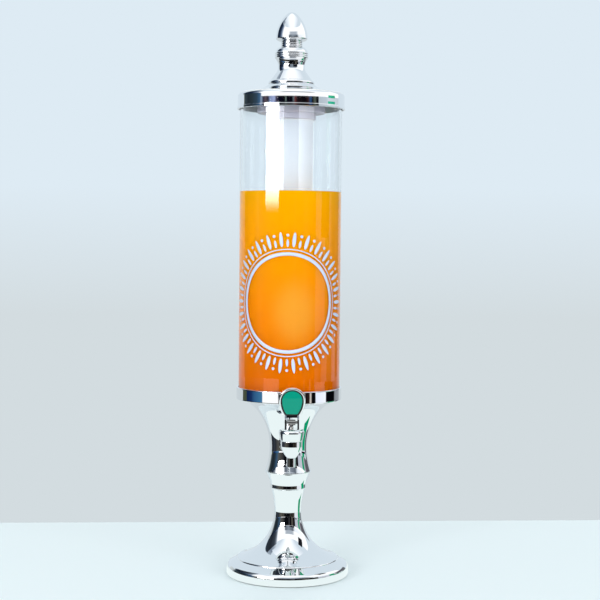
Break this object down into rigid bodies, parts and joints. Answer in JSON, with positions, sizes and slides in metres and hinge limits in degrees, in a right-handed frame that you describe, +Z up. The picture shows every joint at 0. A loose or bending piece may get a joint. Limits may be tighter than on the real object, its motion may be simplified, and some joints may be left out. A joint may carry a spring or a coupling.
{
  "type": "beer tower dispenser",
  "caption": "Tall drink tower: clear tube with an ice tube inside, chromed flared stand with a lever tap, and a lift-off lid with an acorn finial.",
  "frame": {"origin": "on the table, at the centre of the anti-slip ring's underside", "axes": "+Z up along the tower's axis, -Y towards the tap"},
  "size_m": [0.145, 0.1492, 0.6659],
  "materials": {
    "chrome": "polished",
    "plain_steel": "turned, uncoated",
    "cast_iron": "as cast, painted black",
    "black_plastic": "moulded, fine grain",
    "white_plastic": "moulded, satin",
    "frosted_plastic": "moulded, milky",
    "clear_acrylic": "clear, polished",
    "black_rubber": "moulded",
    "white_silicone": "moulded",
    "green_enamel": "glossy"
  },
  "bodies": {
    "pedestal": {"foot": "chrome", "bottom_cover": "black_plastic", "cover_screws": "plain_steel", "anti_slip_ring": "black_rubber", "ballast_disc": "cast_iron", "tie_rod": "plain_steel", "tie_rod_washer": "plain_steel", "tie_rod_nut": "plain_steel", "neck_knop": "chrome", "bell_housing": "chrome", "mouth_ring": "chrome", "tube_seal": "white_silicone", "tap_body": "chrome", "tap_outer_gasket": "black_rubber", "tap_inner_gasket": "black_rubber", "tap_nut": "plain_steel", "tap_bonnet": "chrome", "tap_spring": "plain_steel"},
    "reservoir": {"tower_tube": "clear_acrylic"},
    "lid": {"lid_shell": "chrome", "lid_gasket": "white_silicone", "ice_tube_holder": "white_plastic", "finial_base": "chrome", "finial_acorn": "chrome", "finial_stud": "plain_steel", "finial_nut": "plain_steel"},
    "ice_insert": {"ice_tube": "frosted_plastic", "ice_tube_seal": "white_silicone", "ice_tube_plug": "frosted_plastic"},
    "tap_stem_body": {"tap_stem": "plain_steel", "tap_valve_cup": "black_rubber"},
    "tap_lever_body": {"tap_lever": "chrome", "lever_badge": "green_enamel", "lever_pin": "plain_steel"}
  },
  "joints": [
    {"name": "reservoir_twist", "type": "hinge", "parent": "pedestal", "child": "reservoir", "pos_m": [0, 0, 0.2157], "axis": [0, 0, 1], "range_deg": [0, 40]},
    {"name": "lid_lift", "type": "slide", "parent": "reservoir", "child": "lid", "axis": [0, 0, 1], "range_m": [0, 0.34]},
    {"name": "ice_tube_release", "type": "slide", "parent": "lid", "child": "ice_insert", "axis": [0, 0, -1], "range_m": [0, 0.03]},
    {"name": "stem_lift", "type": "slide", "parent": "pedestal", "child": "tap_stem_body", "axis": [0, 0, 1], "range_m": [0, 0.00317], "stiffness_N_per_m": 400, "springref_m": -0.015, "deforming": ["tap_spring"]},
    {"name": "lever_tilt", "type": "hinge", "parent": "tap_stem_body", "child": "tap_lever_body", "pos_m": [0, -0.062, 0.19025], "axis": [1, 0, 0], "range_deg": [0, 28]}
  ],
  "couplings": [
    {"joint": "lever_tilt", "follows": "stem_lift", "rad_per_m": 153.8}
  ]
}
